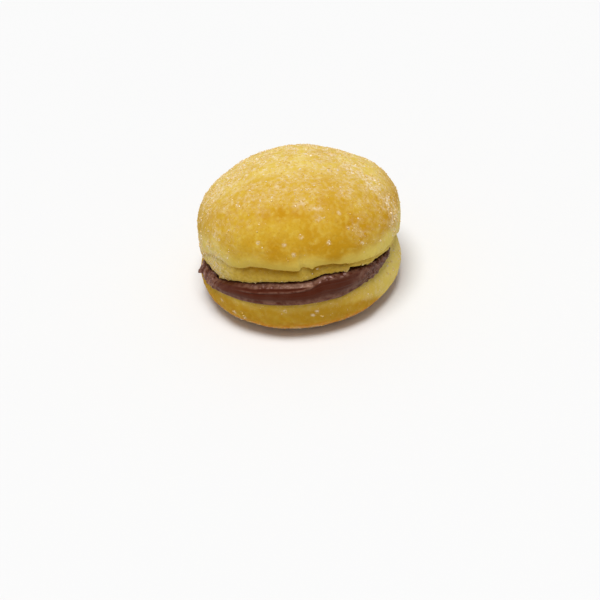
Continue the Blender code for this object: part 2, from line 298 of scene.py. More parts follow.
# Fractal noises: how fast their octaves fade, how much finer each one is, and how many there are.
PUCKER_OCTAVES = (0.7, 2.1, 3)
TEAR_OCTAVES = (0.6, 2.2, 3)
SPECKLE_OCTAVES = (0.9, 2.0, 3)
STREAK_OCTAVES = (0.8, 2.0, 3)
ROUGH_OCTAVES = (0.6, 2.1, 3)

# How finely the dough and the cream are divided.
DOUGH_SEGMENTS = 500
DOUGH_ZONES = (
    ("sole", 8), ("belly", 52), ("floor", 6), ("roof", 6), ("lip", 16), ("brow", 18), ("dome", 86),
)
FRONT_SHARE = 0.66
FRONT_HALF_ANGLE = 98.0
NEARLY_ONE = 0.9999

# More points than a piece has.
MANY_POINTS = 1e5

# The cream: where it ends, how far it lies in the pocket, and how it bulges out in front.
CREAM_CLEARANCE = 0.3
CREAM_DEPTH = 0.92
CREAM_FIRST_ANGLE = -93.0
CREAM_LAST_ANGLE = 71.5
CREAM_END_POWER = 12
CREAM_END_DEPTH = 0.5
CREAM_BULGE = 2.35
CREAM_BULGE_ROUNDNESS = 0.8
CREAM_FULLEST = 0.6
CREAM_FACE_STARTS = 0.03
CREAM_RIGHT_THINS = (50.0, 70.0)
CREAM_RIGHT_SHARE = 0.35
CREAM_SHOULDER_FROM = 0.86
CREAM_SHOULDER_DROP = 0.47
CREAM_SHOULDER_POWER = 1.1
CREAM_SHOULDER_SPEED = 4.0
CREAM_RIDGE = 0.3
CREAM_RIDGE_WIDTH = 0.04
CREAM_RIDGE_WAVER = 0.02
CREAM_RIDGE_WAVERS = 0.1
CREVICE_HEIGHT = 0.05
CREVICE_DEPTH = 0.12
CLEARANCE_DEPTH = 0.2
CREAM_STATIONS = 540
CREAM_ZONES = (("bottom", 8), ("bulge", 76), ("top", 8), ("back", 2))

# Noises on the cream's face, as waves in a degree, waves over its height, and an offset: the knife's streaks,
# the finer ones on its shoulder, and slow waves, which fade at the lower lip. The torn ends have grains.
STREAK_WAVES = (0.03, 14.0, 1.0)
STREAKS_FADE = 0.7
FINE_STREAK_WAVES = (0.5, 9.0, 2.0)
FINE_STREAK_DEPTH = 0.12
SLOW_WAVES = (0.09, 1.3, 5.0)
SLOW_WAVE_DEPTH = 0.25
SLOW_WAVES_START = 0.1
ROUGH_SIZE = 1.9

# Painted light on the cream's face, as shares of its height and how strong: a painted reflection along
# its bottom and painted highlights on its shoulder and ridge, which also make them duller. Where this or
# the dry ends are strongest it has specks, which are painted glints on the shoulder.
CREAM_LOW = (0.35, 0.1)
CREAM_LOW_REFLECTION = 0.65
CREAM_HIGH = (0.84, 0.9)
CREAM_SHOULDER_HIGHLIGHT = 0.85
CREAM_RIDGE_HIGHLIGHT = 0.55
SPECKS_FROM = 0.66
SPECKS_FULL = 0.85

# Courses along the cream, as angle and share: how high on its face the knife left a ridge, how smooth the
# face is, and how dull and torn it is at its ends.
CREAM_RIDGE_AT = ((-12, 0.69), (-3, 0.73), (1, 0.8), (5, 0.87), (10, 0.94))
CREAM_SMOOTH = ((-52, 0.0), (-28, 1.0), (24, 1.0), (33, 0.0))
CREAM_DULL = ((-68, 0.9), (-48, 0.1), (-30, 0.0), (24, 0.0), (34, 0.6), (44, 0.72))
CREAM_TORN = ((-70, 1.0), (-50, 0.0), (30, 0.0), (38, 1.0))

# The cream hangs over the lower lip: how far out and down, how much of its face does so, and how much more it
# hangs right of the middle and at the left end, where a tongue of it sticks out.
HANG_OUT = 0.5
HANG_DOWN = 0.45
HANG_SHARE = 0.22
HANG_WAVER = 0.2
HANG_WAVES = (0.12, 0.0, 7.0)
HANG_MORE = 0.45
HANG_MORE_AT = (22.0, 9.0)
HANG_RIGHT_FADE = (62.0, 46.0)
HANG_LEFT = (-48.0, -75.0)
HANG_LEFT_OUT = 1.1
HANG_LEFT_DOWN = 0.75
HANG_LEFT_SHARE = 0.25
TONGUE_ANGLE = -81.0
TONGUE_WIDTH = 3.0
TONGUE_LENGTH = 1.6
TONGUE_DROOP = 0.35
TONGUE_AT = 0.24
TONGUE_HALF_HEIGHT = 0.16

# A sugar crystal: a block with a smaller top or a splinter, its least and most length, width and height, how
# far it leans, and how far its middle stands over the crust, all as shares of its size.
BLOCK_TOP = 0.6
SPLINTER_RADIUS = 0.7
CRYSTAL_LEAST = (0.8, 0.7, 0.5)
CRYSTAL_MOST = (1.3, 1.1, 0.9)
CRYSTAL_TILT = 0.3
CRYSTAL_LIFT = 0.04

# Patterns of the materials, as a size in millimetres, a detail, and the noise levels that count as 0 and 1.
# The grain of a real skin and cream is finer, and is drawn as coarse as it needs to show.
GOLDEN_CLOUDS = (5.0, 3.0, 0.35, 0.65)
PALE_FLECKS = (1.8, 4.0, 0.5, 0.7)
BROWN_FLECKS = (0.9, 4.0, 0.45, 0.7)
CRUMB_PIT_SHADE = (1.3, 3.0, 0.45, 0.75)
SUGAR_HAZE = (1.4, 4.0, 0.35, 0.7)
SKIN_GRAIN = (0.8, 4.0, 0.2, 0.8)
CREAM_CLOUDS = (4.0, 3.0, 0.35, 0.65)
CREAM_DRY_AND_LIT_PATCHES = (2.2, 4.0, 0.35, 0.62)
CREAM_SPECKS = (1.4, 3.0, 0.56, 0.72)
CREAM_GRAIN = (0.9, 3.0, 0.2, 0.8)
BOARD_CLOUDS = (400.0, 2.0, 0.35, 0.65)

# Where the crust is browner, as a point of the crust in millimetres, a radius and a strength.
BROWN_PATCHES = (
    ((-0.2, -29.2, 52.9), 4.5, 0.9), ((-6.6, -27.9, 53.2), 4.0, 0.8), ((-12.8, -27.6, 52.0), 3.5, 0.45),
    ((4.4, -30.4, 51.8), 3.5, 0.7), ((13.2, -24.6, 53.5), 4.5, 0.6), ((19.4, -29.2, 47.6), 4.5, 0.75),
    ((4.7, -35.2, 47.6), 4.5, 0.5), ((3.6, -37.6, 43.6), 5.0, 0.4), ((-10.1, -36.3, 43.9), 4.5, 0.3),
    ((-12.7, -9.2, 57.1), 4.5, 0.35), ((14.0, -11.3, 56.0), 5.0, 0.35), ((16.5, -26.5, 51.0), 6.0, 0.6),
    ((28.0, -25.0, 42.7), 5.0, 0.45), ((24.1, -32.2, 38.5), 5.0, 0.35), ((-27.0, -18.6, 48.8), 5.0, 0.3),
    ((-35.2, -11.4, 45.0), 4.0, 0.4), ((11.0, -36.9, 43.0), 4.0, 0.4),
)

# Where sugar lies thick, given the same way.
SUGAR_PATCHES = (
    ((-29.0, 2.6, 50.7), 8.0, 1.0), ((-23.4, 8.5, 52.6), 7.0, 0.8), ((-36.4, -2.3, 44.9), 7.0, 0.7),
    ((24.3, 0.3, 52.8), 6.5, 1.0), ((31.0, -4.5, 49.4), 7.0, 1.0), ((37.4, -9.5, 41.9), 6.5, 0.8),
    ((17.0, 7.0, 54.2), 6.0, 0.6), ((39.5, -14.0, 34.6), 6.0, 0.8), ((1.4, -24.4, 55.1), 3.5, 0.5),
    ((7.2, -27.4, 53.3), 2.5, 0.6), ((3.7, 10.4, 56.1), 8.0, 0.3), ((-17.6, -16.8, 54.8), 4.0, 0.35),
    ((-34.0, -19.8, 40.9), 3.5, 0.6), ((24.0, -29.5, 43.0), 4.0, 0.35), ((16.8, -34.5, 26.6), 1.8, 0.7),
)

# Small clumps of sugar grains, as points of the crust, all of one radius and strength.
CLUMP_RADIUS = 0.65
CLUMP_STRENGTH = 0.8
CLUMP_PLACES = (
    (8.6, -30.3, 50.7), (7.3, -31.4, 50.2), (18.6, -19.4, 52.5), (16.2, -27.4, 50.1), (19.1, -31.2, 45.2),
    (-14.1, -18.9, 54.4), (-7.3, -13.6, 56.7), (-6.5, -36.6, 44.1), (11.0, -36.6, 42.8), (-16.6, -33.4, 44.1),
    (-32.1, -22.4, 39.8), (-33.6, -19.1, 40.6), (0.4, -35.8, 46.4), (-3.1, -39.0, 40.5), (24.1, -32.1, 37.9),
    (-9.0, -40.5, 14.8), (2.0, -41.5, 12.1), (3.7, -41.3, 13.3), (-34.1, -24.6, 11.6), (-29.2, -30.2, 9.1),
    (-25.4, -33.3, 8.4),
)
SUGAR_CLUMPS = tuple((place, CLUMP_RADIUS, CLUMP_STRENGTH) for place in CLUMP_PLACES)

# A patch ends where the square of the distance over its radius reaches this.
PATCH_END = 6.0


def linear(code):
    """The linear colour of an sRGB hex code."""
    parts = [int(code[i : i + 2], 16) / 255.0 for i in (0, 2, 4)]
    return tuple(c / 12.92 if c <= 0.04045 else ((c + 0.055) / 1.055) ** 2.4 for c in parts)


def colour_property(name, code, description):
    return bpy.props.FloatVectorProperty(
        name=name, description=description, default=linear(code), subtype="COLOR", min=0.0, max=1.0
    )


def length_property(name, millimetres, description):
    metres = millimetres * MM
    return bpy.props.FloatProperty(
        name=name, description=description, default=metres, min=0.0, unit="LENGTH", subtype="DISTANCE"
    )


def angle_property(name, degrees, description):
    return bpy.props.FloatProperty(
        name=name, description=description, default=math.radians(degrees), subtype="ANGLE"
    )


def strength_property(name, strength, description):
    return bpy.props.FloatProperty(name=name, description=description, default=strength, min=0.0)


def count_property(name, count, description):
    return bpy.props.IntProperty(name=name, description=description, default=count, min=1)


class BerlinerCrust(bpy.types.PropertyGroup):
    """What the fried crust looks like."""

    dent_depth: length_property("Dents", 0.22, "Depth of the soft dents in the crust")
    pucker_depth: length_property("Puckers", 0.10, "Depth of the fine puckers of the fried skin")
    tear_depth: length_property("Tears", 0.30, "Depth of the torn crumb along the cut")
    golden: colour_property("Golden crust", "CFA834", "Colour of the fried crust")
    browned: colour_property("Browned crust", "BE8A12", "Colour where the crust fried longest")
    toasted: colour_property("Toasted crust", "C87F18", "Colour of the crust right over the sole")
    pale: colour_property("Pale dough", "E6CF66", "Colour of the dough that the oil hardly reached")
    # Painted shade: this colour is laid where the shade fact says. That is the crease, the lip under the rim,
    # the rim just over the crease, the front of the lower half, the inside of the cut and the torn crumb's
    # pits.
    shaded: colour_property("Painted shade", "AC8420", "Colour of the painted shade in the creases, the lip, the cut and the crumb's pits")


class BerlinerCream(bpy.types.PropertyGroup):
    """What the chocolate cream looks like."""

    streak_depth: length_property("Streaks", 0.10, "Depth of the streaks that the knife left")
    rough_depth: length_property("Rough ends", 0.55, "Depth of the relief where the cream tore off")
    dark: colour_property("Dark cream", "481504", "Colour of the smooth cream")
    # Painted light: besides the thin, dry ends, this colour paints a reflection along the cream's bottom and
    # highlights on its shoulder and ridge.
    light: colour_property("Light cream", "866151", "Colour of the cream where it is thin or dry")
    # Painted glints: on the shoulder these specks are painted highlights; at the ends they are dried cream.
    specks: colour_property("Specks", "B08E8A", "Colour of the dried specks on thin cream")
    sheen: colour_property("Sheen", "FFD6B8", "Colour of the light that the cream's fat throws back")


class BerlinerSugar(bpy.types.PropertyGroup):
    """How much sugar lies on the crust."""

    grain_size: length_property("Grain", 0.5, "Usual width of a sugar grain")
    dust_size: length_property("Dust", 0.22, "Usual width of a speck of sugar dust")
    grains: count_property("Grains", 4000, "Number of sugar grains")
    dust: count_property("Specks", 40000, "Number of specks of sugar dust")
    seed: count_property("Seed", 7, "Picks another scatter of the same sugar")
    white: colour_property("White sugar", "F1E5CD", "Colour of the crystals that look white")
    clear: colour_property("Clear sugar", "DCB654", "Colour that the clear crystals take from the dough")


class BerlinerStage(bpy.types.PropertyGroup):
    """The floor, the light and the camera."""

    floor: colour_property("Floor", "E6E6E6", "Colour of the floor")
    backdrop: colour_property("Backdrop", "FAFAFA", "Colour behind the doughnut")
    sky_strength: strength_property("Sky", 0.32, "Strength of the light all round")
    key_strength: strength_property("Key light", 2.85, "Strength of the key light")
    key_height: angle_property("Key height", 82.0, "How high the key light stands")
    key_turn: angle_property("Key turn", 18.0, "How far left the key light stands")
    key_softness: angle_property("Key softness", 32.0, "Width of the key light in the sky")
    camera_distance: length_property("Camera distance", 750.0, "Distance of the camera from the doughnut")
    camera_height: angle_property("Camera height", 37.0, "How far the camera looks down")
    camera_roll: angle_property("Camera roll", -6.0, "How far the camera is turned on its side")


class BerlinerSettings(bpy.types.PropertyGroup):
    """All settings of the doughnut."""

    crust: bpy.props.PointerProperty(name="Crust", description="The fried crust", type=BerlinerCrust)
    cream: bpy.props.PointerProperty(name="Cream", description="The chocolate cream", type=BerlinerCream)
    sugar: bpy.props.PointerProperty(name="Sugar", description="The sugar on the crust", type=BerlinerSugar)
    stage: bpy.props.PointerProperty(name="Stage", description="Floor, light and camera", type=BerlinerStage)


def smooth(start, end, value):
    """Rise from 0 at start to 1 at end without a corner."""
    t = min(max((value - start) / (end - start), 0.0), 1.0)
    return t * t * (3.0 - 2.0 * t)


def mix(first, second, share):
    return first * (1.0 - share) + second * share


def bump(value, middle, width):
    """1 at the middle, fading within the width on both sides."""
    return math.exp(-(((value - middle) / width) ** 2))


def follow(course, angle):
    """Read a course of (angle, value) pairs, easing from each to the next."""
    value = course[0][1]
    for (start, first), (end, second) in zip(course, course[1:]):
        if angle > start:
            value = mix(first, second, smooth(start, end, angle))
    return value


def outward(angle):
    """Level direction away from the axis."""
    a = math.radians(angle)
    return Vector((math.sin(a), -math.cos(a), 0.0))


CUT_DIRECTION = outward((CUT_FIRST_ANGLE + CUT_LAST_ANGLE) / 2.0)
DOME_DIRECTION = outward(DOME_TURN)
DOME_HINGE = DOME_DIRECTION * -DOME_HINGE_BEHIND_AXIS
DOME_PLACE = Vector((DOME_SHIFT_X, 0.0, CREASE_HEIGHT))
DOME_TILT = Matrix.Rotation(math.radians(-DOME_LEAN), 3, UP.cross(DOME_DIRECTION))


def cut_height(x):
    """Height of the lower cut face: level in the middle, sinking to the left, rising at the right end."""
    sunk = CUT_SINKS_LEFT * (max(-x, 0.0) / BASE_RADIUS) ** 2
    return CUT_HEIGHT - sunk + CUT_RISES_RIGHT * smooth(*CUT_RISES_BETWEEN, x)


def cut_share(angle):
    """1 where the dough is cut, 0 where it isn't."""
    left = smooth(CUT_FIRST_ANGLE, CUT_FIRST_ANGLE + CUT_FADE, angle)
    right = smooth(CUT_LAST_ANGLE, CUT_LAST_ANGLE - CUT_FADE, angle)
    return left * right


def gape(angle):
    """Height of the gap between the two lips, before the upper lip sags and frays."""
    reach, power = CUT_LAST_ANGLE - GAPE_WIDEST_ANGLE, GAPE_RIGHT_POWER
    if angle < GAPE_WIDEST_ANGLE:
        reach, power = GAPE_WIDEST_ANGLE - CUT_FIRST_ANGLE, GAPE_LEFT_POWER
    part = min(abs(angle - GAPE_WIDEST_ANGLE) / reach, 1.0)
    return GAPE * max(math.cos(part * math.pi / 2.0), 0.0) ** power


def lip_fray(angle):
    """How far the upper lip hangs down: its course, then rags of three lengths."""
    fray = follow(LIP_SAG, angle)
    for per_degree, height, offset in LIP_RAGS:
        fray -= height * noise.noise(Vector((angle * per_degree, offset, 0.0)))
    return fray


def at_back(angle):
    return smooth(BACK_FIRST_ANGLE, BACK_FULL_ANGLE, abs(angle))


def base_radius(angle):
    left = LEFT_BULGE * bump(angle, LEFT_BULGE_ANGLE, LEFT_BULGE_WIDTH)
    return BASE_RADIUS + left + BACK_BULGE * at_back(angle)


def low_lip(angle):
    """The lower edge of the cut, or of the pale waist where there is no cut."""
    inset = mix(LIP_INSET_FRONT, LIP_INSET_RIGHT, smooth(0.0, LIP_INSET_RIGHT_ANGLE, angle))
    inset = mix(inset, LIP_INSET_LEFT, smooth(*LIP_INSET_LEFT_ANGLES, angle))
    inset = mix(inset, LIP_INSET_BACK, at_back(angle))
    point = outward(angle) * (base_radius(angle) - inset)
    point.x += BASE_SHIFT_X
    point.z = cut_height(point.x) - WAIST_HALF_HEIGHT * (1.0 - cut_share(angle))
    return point


def lean(point, height):
    """Move a point of the upright dome, height over its crease, to where the dome leans."""
    upright = Vector((point.x, point.y, height))
    return DOME_TILT @ (upright - DOME_HINGE) + DOME_HINGE + DOME_PLACE


def crease_height(angle):
    """Height of the crease in the dome's own frame: along the cut first, then down or up to the waist."""
    left = smooth(CUT_FIRST_ANGLE, CREASE_LEVEL_FROM, angle)
    right = smooth(CUT_LAST_ANGLE + CUT_FADE, CREASE_LEVEL_TO, angle)
    on_hinge_side = outward(angle).dot(DOME_DIRECTION) * DOME_RADIUS + DOME_HINGE_BEHIND_AXIS
    level = CREASE_HEIGHT + on_hinge_side * math.sin(math.radians(DOME_LEAN))
    waist_height = cut_height(outward(angle).x * DOME_RADIUS) + WAIST_HALF_HEIGHT + WAIST_TO_CREASE
    drop = (waist_height - level) / math.cos(math.radians(DOME_LEAN)) * (1.0 - left * right)
    return drop + follow(CREASE_RISE, angle)


def crease_radius(angle):
    return DOME_RADIUS - mix(WAIST_INSET, follow(CREASE_INSETS, angle), cut_share(angle))


def crease(angle):
    return lean(outward(angle) * crease_radius(angle), crease_height(angle))


def high_lip(angle, frayed=True):
    """The upper edge of the cut, or of the pale waist where there is no cut."""
    share = cut_share(angle)
    radius = DOME_RADIUS - mix(WAIST_INSET, LIP_INSET_DOME, share)
    point = lean(outward(angle) * radius, crease_height(angle) - follow(CREASE_RISE, angle))
    sag = lip_fray(angle) if frayed else follow(CREAM_SAG, angle)
    point.z = cut_height(point.x) + mix(WAIST_HALF_HEIGHT, gape(angle) - sag, share)
    return point


def cut_face(angle, depth, roof, frayed=True):
    """A point of the cut's floor or roof: depth 0 at the lip, 1 at the hinge."""
    edge = high_lip(angle, frayed) - outward(angle) * LIP_ROUNDING if roof else low_lip(angle)
    reach = max(edge.dot(CUT_DIRECTION) + CUT_HINGE_BEHIND_AXIS, LEAST_REACH)
    point = edge - CUT_DIRECTION * reach * depth
    point.z = cut_height(point.x)
    if roof:
        edge_gape = edge.z - cut_height(edge.x)
        point.z += mix(edge_gape, GAPE_AT_HINGE, depth)
    return point


def waist(angle, up):
    """A point of the outside between the two lips, hollowed a little."""
    point = low_lip(angle).lerp(high_lip(angle), up)
    return point - outward(angle) * WAIST_HOLLOW * math.sin(math.pi * up)


def floor(angle, depth):
    return waist(angle, WAIST_SPREAD * depth).lerp(cut_face(angle, depth, False), cut_share(angle))


def roof(angle, depth):
    return waist(angle, 1.0 - WAIST_SPREAD * depth).lerp(cut_face(angle, depth, True), cut_share(angle))


def lumps(point, direction):
    return direction * LUMP_HEIGHT * noise.noise(point / LUMP_SIZE)


def sole(angle, k):
    """The flat underside, from its middle out."""
    return (outward(angle) * SOLE_RADIUS + Vector((BASE_SHIFT_X, 0.0, 0.0))) * k


def belly(angle, k):
    """From the edge of the sole out and up to the lower lip."""
    edge = low_lip(angle)
    radius = base_radius(angle)
    if k < BELLY_SHARE:
        a = k / BELLY_SHARE * math.pi / 2.0
        out = mix(SOLE_RADIUS, radius, math.sin(a) ** BELLY_ROUNDNESS)
        height = BELLY_HEIGHT * (1.0 - math.cos(a))
    else:
        b = (k - BELLY_SHARE) / (1.0 - BELLY_SHARE)
        edge_radius = Vector((edge.x - BASE_SHIFT_X, edge.y)).length
        out = mix(radius, edge_radius, b**2)
        height = mix(BELLY_HEIGHT, edge.z, b)
    point = outward(angle) * out + Vector((BASE_SHIFT_X, 0.0, height))
    return point + lumps(point, outward(angle)) * smooth(0.0, BELLY_SHARE, k)


def lip(angle, k):
    """The pale band between the upper lip and the crease under the dome's rim, with a crack along its top."""
    share = cut_share(angle)
    low, high = high_lip(angle), crease(angle)
    swell = LIP_SWELL * math.sin(math.pi * k) * share
    rounding = LIP_ROUNDING * max(1.0 - k / LIP_ROUNDED_SHARE, 0.0) ** 2 * share
    under_crease = (high - low).length * (1.0 - k)
    crack = follow(CRACK_DEPTHS, angle) * smooth(CRACK_WIDTH, 0.0, under_crease)
    return low.lerp(high, k) + outward(angle) * (swell - rounding - crack)


def rim_height(angle):
    """Where the dome is widest, in its own frame."""
    return RIM_HEIGHT + max(crease_height(angle) - follow(CREASE_RISE, angle), 0.0)


def fold(angle, up):
    """The skin left of the fold stands proud of the skin on its right."""
    beside = smooth(FOLD_ANGLE + FOLD_WIDTH, FOLD_ANGLE - FOLD_WIDTH, angle)
    fade = smooth(FOLD_ANGLE - FOLD_FADE_ANGLE, FOLD_ANGLE - FOLD_WIDTH, angle)
    groove = FOLD_GROOVE * bump(angle, FOLD_ANGLE + FOLD_WIDTH, FOLD_WIDTH)
    return (FOLD_HEIGHT * beside * fade - groove) * smooth(FOLD_END, FOLD_FULL, up)


def brow(angle, k):
    """From the crease out and up to the dome's widest ring, as a rounded ledge over a deep crease."""
    a = k * math.pi / 2.0
    inset = DOME_RADIUS - crease_radius(angle)
    deep = smooth(LEDGE_FIRST_INSET, LEDGE_FULL_INSET, inset) * cut_share(angle)
    out = DOME_RADIUS - inset * (1.0 - math.sin(a) ** mix(1.0, LEDGE_ROUNDNESS, deep))
    folded = fold(angle, k) * smooth(0.0, FOLD_START, k)
    height = mix(rim_height(angle), crease_height(angle), math.cos(a))
    point = lean(outward(angle) * (out + folded), height)
    return point + lumps(point, outward(angle)) * k


def dome(angle, k):
    """From the widest ring up to the top."""
    a = k * math.pi / 2.0
    upright = outward(angle) * (DOME_RADIUS * math.cos(a) + fold(angle, 1.0 + 4.0 * k))
    droop = DOME_DROOP_LEFT if upright.x < 0.0 else DOME_DROOP_RIGHT
    droop *= (upright.x / DOME_RADIUS) ** 2
    point = lean(upright, mix(rim_height(angle), DOME_HEIGHT - droop, math.sin(a)))
    return point + lumps(point, outward(angle) * math.cos(a) + UP * math.sin(a))


SURFACES = {
    "sole": sole,
    "belly": belly,
    "floor": floor,
    "roof": lambda angle, k: roof(angle, 1.0 - k),
    "lip": lip,
    "brow": brow,
    "dome": dome,
}


def place_in_zones(ring, zones):
    """The zone of a ring and how far along it the ring lies. The roof starts a step above the floor's end."""
    first = 0
    for name, count in zones:
        if ring <= first + count:
            step = ring - first
            return (name, (step - 1) / (count - 1)) if name == "roof" else (name, step / count)
        first += count


def crowded_angle(turn):
    """Turn a position of -1 to 1 round the axis into an angle, with most points along the cut."""
    t = abs(turn)
    if t < FRONT_SHARE:
        angle = t / FRONT_SHARE * FRONT_HALF_ANGLE
    else:
        angle = mix(FRONT_HALF_ANGLE, 180.0, (t - FRONT_SHARE) / (1.0 - FRONT_SHARE))
    from_front = math.copysign(angle, turn) + (CUT_FIRST_ANGLE + CUT_LAST_ANGLE) / 2.0
    return (from_front + 180.0) % 360.0 - 180.0


def patches_at(point, patches):
    """How strongly the patches cover a point."""
    cover = 0.0
    for middle, radius, strength in patches:
        far = (point - Vector(middle)).length_squared / radius**2
        if far < PATCH_END:
            cover = max(cover, strength * math.exp(-far))
    return cover


def lip_facts(k, angle, ends):
    """How pale, brown and shaded the upper lip is: pale edge partly painted light, brown and shade painted
    shade.
    """
    edge = smooth(*LIP_PALE_EDGE, k)
    pale = max(ends, edge, LIP_LOW_PALE * smooth(*LIP_LOW, k))
    brown = LIP_UNDER_RIM_SHADE_BROWN * (smooth(*LIP_HIGH, k) * (1.0 - ends))
    shade = follow(LIP_SHADE, angle) * mix(LIP_LEAST_SHADE, 1.0, smooth(*LIP_SHADED, k)) * (1.0 - edge)
    return pale, brown, shade


def skin_facts(up, angle, point, blotch, ends):
    """How pale, brown and shaded the fried skin is. Up is 0 at the crease, 1 at the rim and 5 on top."""
    from_rim = up - follow(PALE_RIM, angle) + RIM_WAVER * blotch
    pale = smooth(*RIM_FADE, from_rim) * mix(RIM_PALE_IN_FRONT, 1.0, ends)
    crown = smooth(*CROWN_BEHIND, point.y) * smooth(*CROWN_ABOVE, up) * (CROWN_PALE + CROWN_BLOTCHES * blotch)
    shade = SKIN_SHADE * smooth(*SKIN_SHADED, up) * (1.0 - ends)
    low = smooth(*BROWN_BELOW, point.z) * smooth(*BROWN_RIGHT_OF, point.x)
    return max(pale, crown), SKIN_BROWN * low + SKIN_BLOTCHES * blotch, shade


def belly_facts(angle, point, blotch):
    """How pale, brown, shaded and toasted the lower half is: darkest in front, pale high up behind."""
    right = smooth(*BELLY_RIGHT_FROM, angle) * smooth(*BELLY_RIGHT_TO, angle)
    edge = mix(*BELLY_PALE_FROM, right) + BELLY_PALE_WAVER * blotch
    pale = smooth(edge, edge + BELLY_PALE_FADE, point.z)
    pale *= mix(BELLY_PALE_IN_FRONT, 1.0, max(right, at_back(angle)))
    mottle = noise.noise(point / MOTTLE_SIZE + UP * 3.0)
    low = point.z + BELLY_WAVER * blotch
    brown = BELLY_BROWN + BELLY_BLOTCHES * blotch + BELLY_MOTTLE * mottle
    brown += BELLY_LOW_BROWN * smooth(*BELLY_BROWN_BELOW, low)
    toasted = smooth(*BELLY_TOASTED_BELOW, low - BELLY_WAVER * mottle)
    return pale, brown, follow(BELLY_SHADE, angle) * smooth(*BELLY_SHADED_ABOVE, point.z), toasted


def dome_sugar(point, up, patch, end_haze):
    """How much sugar lies all over the dome, apart from its patches: none where the skin browned most."""
    drift = noise.noise(point / DRIFT_SIZE - UP * 5.0)
    haze = follow(DOME_HAZE, point.y) * mix(DOME_SIDE_HAZE, 1.0, smooth(*DOME_SIDES, abs(point.x)))
    haze = (haze + DRIFT_HAZE * max(drift, 0.0)) * (1.0 - min(patch, 1.0))
    return haze + end_haze * smooth(*END_HAZE_BELOW, up)


def crust_facts(zone, k, angle, point):
    """The crust's facts at a point, each from 0 to 1, in the order of their names.

    Each noise is read at a height of its own, so that no two of them agree.
    """
    blotch = noise.noise(point / BLOTCH_SIZE + UP * 9.0)
    cut = cut_share(angle)
    ends = follow(PALE_ENDS, angle)
    end_haze = follow(END_HAZE, angle)
    torn = 0.0
    toasted = 0.0
    loose = LIP_SUGAR
    if zone in ("floor", "roof"):
        pale, brown, shade, torn = (mix(*pair, cut) for pair in zip(WAIST_FACTS, CUT_FACTS))
    elif zone == "lip":
        pale, brown, shade = lip_facts(k, angle, ends)
        torn = cut * mix(0.7, 1.0, ends)
        loose += end_haze + LIP_EDGE_SUGAR * smooth(*LIP_PALE_EDGE, k)
    elif zone in ("brow", "dome"):
        up = k if zone == "brow" else 1.0 + 4.0 * k
        pale, brown, shade = skin_facts(up, angle, point, blotch, ends)
        patch = patches_at(point, BROWN_PATCHES) * (1.0 + 0.6 * blotch)
        brown += patch
        front_torn = FRONT_TORN * smooth(*FRONT_TORN_BELOW, up)
        torn = cut * mix(front_torn, ENDS_TORN * smooth(*ENDS_TORN_BELOW, up), ends)
        loose = dome_sugar(point, up, patch, end_haze)
    else:
        pale, brown, shade, toasted = belly_facts(angle, point, blotch)
        loose = BELLY_SUGAR + BELLY_PALE_SUGAR * pale + BELLY_LOW_SUGAR * smooth(*BELLY_LOW, point.z)
    speckle = noise.fractal(point / SPECKLE_SIZE + UP * 2.0, *SPECKLE_OCTAVES)
    speckle = min(max(SPECKLE_MIDDLE + SPECKLE_SPAN * speckle, 0.0), SPECKLE_MOST)
    sugar = max(patches_at(point, SUGAR_PATCHES), loose) * speckle * smooth(*SUGAR_LEAST_HEIGHT, point.z)
    sugar = max(sugar, patches_at(point, SUGAR_CLUMPS))
    return [min(max(value, 0.0), 1.0) for value in (pale, brown, shade, torn, sugar, toasted)]


def crust_relief(point, torn, crust):
    """Height in millimetres of the crust's own relief over the smooth shape."""
    dents = crust.dent_depth / MM * noise.noise(point / DENT_SIZE)
    puckers = crust.pucker_depth / MM * noise.fractal(point / PUCKER_SIZE, *PUCKER_OCTAVES)
    stretched = Vector((point.x, point.y, point.z / TEAR_STRETCH)) / TEAR_SIZE
    tears = crust.tear_depth / MM * noise.fractal(stretched, *TEAR_OCTAVES)
    relief = dents + puckers * (1.0 - torn) + tears * torn
    return relief * smooth(0.0, RELIEF_STARTS, point.z)


def make_dough(crust):
    """A sphere of rings, each ring moved to its place on the doughnut, then given its relief."""
    rings = sum(count for _, count in DOUGH_ZONES)
    mesh = bmesh.new()
    bmesh.ops.create_uvsphere(mesh, u_segments=DOUGH_SEGMENTS, v_segments=rings, radius=1.0)
    facts = {name: mesh.verts.layers.float.new(name) for name in CRUST_FACTS}
    places = []
    for vertex in mesh.verts:
        x, y, z = vertex.co
        ring = round(math.acos(min(max(-z, -1.0), 1.0)) / math.pi * rings)
        turn = 0.0 if ring in (0, rings) else math.atan2(x, -y) / math.pi
        zone, k = place_in_zones(ring, DOUGH_ZONES)
        angle = crowded_angle(turn)
        vertex.co = SURFACES[zone](angle, k)
        places.append((zone, k, angle))
    mesh.normal_update()
    for vertex, (zone, k, angle) in zip(mesh.verts, places):
        values = dict(zip(CRUST_FACTS, crust_facts(zone, k, angle, vertex.co)))
        for name, value in values.items():
            vertex[facts[name]] = value
        vertex.co += vertex.normal * crust_relief(vertex.co, values["torn"], crust)
    mesh.transform(Matrix.Scale(MM, 4))
    return finished("fried_dough", mesh)


def face_height(k):
    """The cream's rings crowd at the top and bottom of its face: the height share of a ring."""
    return (1.0 - math.cos(math.pi * k)) / 2.0


def on_ridge(angle, h):
    """1 on the ridge that the knife left along the cream, 0 away from it."""
    waver = CREAM_RIDGE_WAVER * noise.noise(Vector((angle * CREAM_RIDGE_WAVERS, 3.0, 0.0)))
    return bump(h, follow(CREAM_RIDGE_AT, angle) + waver, CREAM_RIDGE_WIDTH)


def painted_cream_light(angle, h):
    """Painted light on the face, also dulling it: a reflection along its bottom, highlights on ridge and
    shoulder.
    """
    low = CREAM_LOW_REFLECTION * smooth(*CREAM_LOW, h)
    high = CREAM_SHOULDER_HIGHLIGHT * smooth(*CREAM_HIGH, h)
    return max(low, max(high, CREAM_RIDGE_HIGHLIGHT * on_ridge(angle, h)) * follow(CREAM_SMOOTH, angle))


def in_waves(angle, h, waves):
    """Where a point of the cream's face lies in a noise."""
    return Vector((angle * waves[0], h * waves[1], waves[2]))


